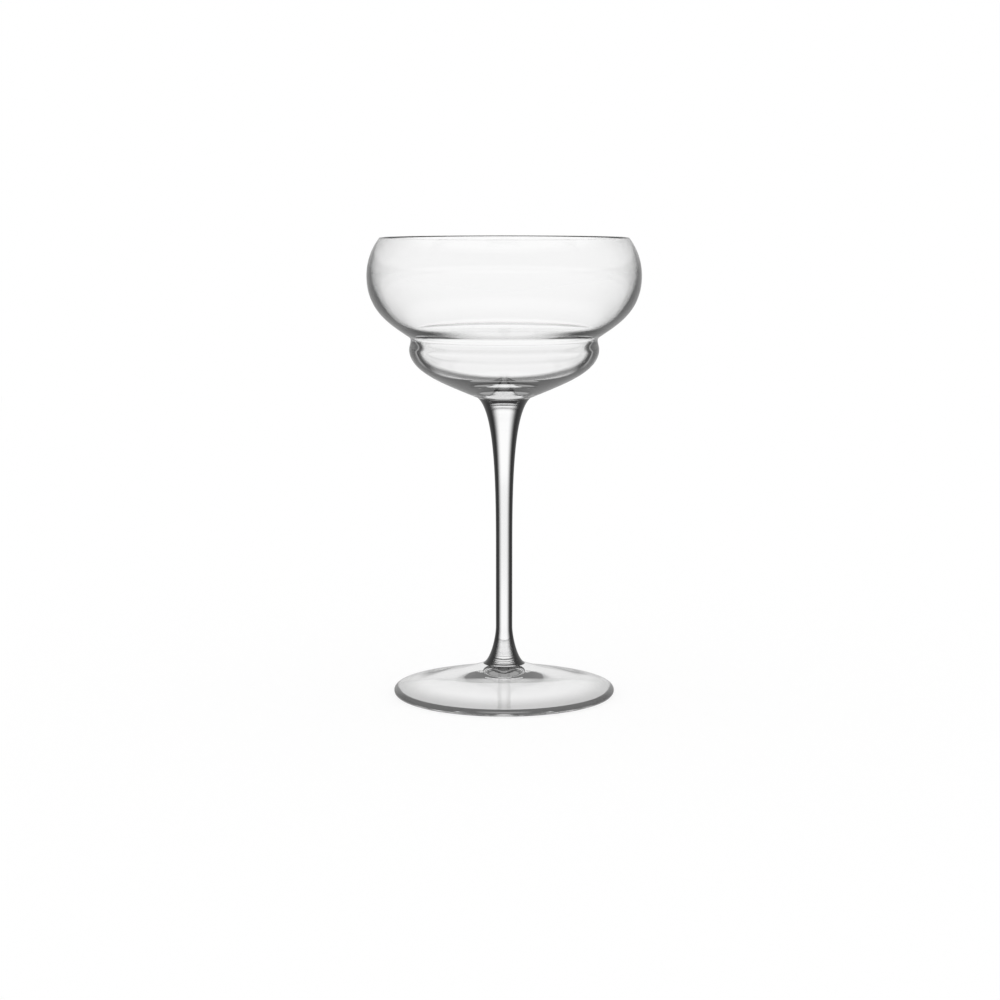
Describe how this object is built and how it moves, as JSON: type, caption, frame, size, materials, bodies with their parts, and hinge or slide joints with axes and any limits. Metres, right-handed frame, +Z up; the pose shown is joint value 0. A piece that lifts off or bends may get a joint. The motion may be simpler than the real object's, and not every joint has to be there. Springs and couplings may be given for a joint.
{
  "type": "nick and nora glass",
  "caption": "Clear stemmed cocktail glass: a round-sided bowl with a drawn-in rim drops into a shallow cup, on a slim flared stem and a low conical foot.",
  "frame": {"origin": "on the glass's axis, in the plane of the ring that it rests on", "axes": "+Z up along the glass's axis; +X and +Y are any two square directions, as the glass is round"},
  "size_m": [0.092, 0.092, 0.1549],
  "materials": {
    "clear_glass": "clear, fire polished"
  },
  "bodies": {
    "root": {"bowl": "clear_glass", "stem": "clear_glass", "foot": "clear_glass"}
  },
  "joints": []
}
